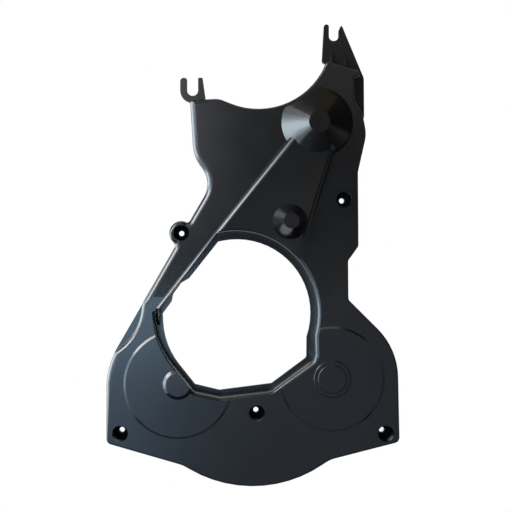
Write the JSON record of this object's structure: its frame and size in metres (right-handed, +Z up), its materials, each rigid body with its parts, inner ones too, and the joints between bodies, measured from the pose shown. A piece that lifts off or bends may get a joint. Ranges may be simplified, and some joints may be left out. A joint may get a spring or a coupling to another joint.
{
  "type": "timing cover",
  "caption": "Moulded black plastic timing belt cover: shallow tray with a large crank pulley window, a raised pad with domes, sunk bolt seats and forked ears.",
  "frame": {"origin": "axis of the bottom centre bolt, on the mounting plane at the back of the cover", "axes": "+Z up as the cover stands on the engine, -Y out of the front face along the bolts, +X to the right seen from the front"},
  "size_m": [0.2941, 0.054, 0.4687],
  "materials": {
    "moulded_plastic": "satin moulded black"
  },
  "bodies": {
    "root": {"timing_cover": "moulded_plastic"}
  },
  "joints": []
}
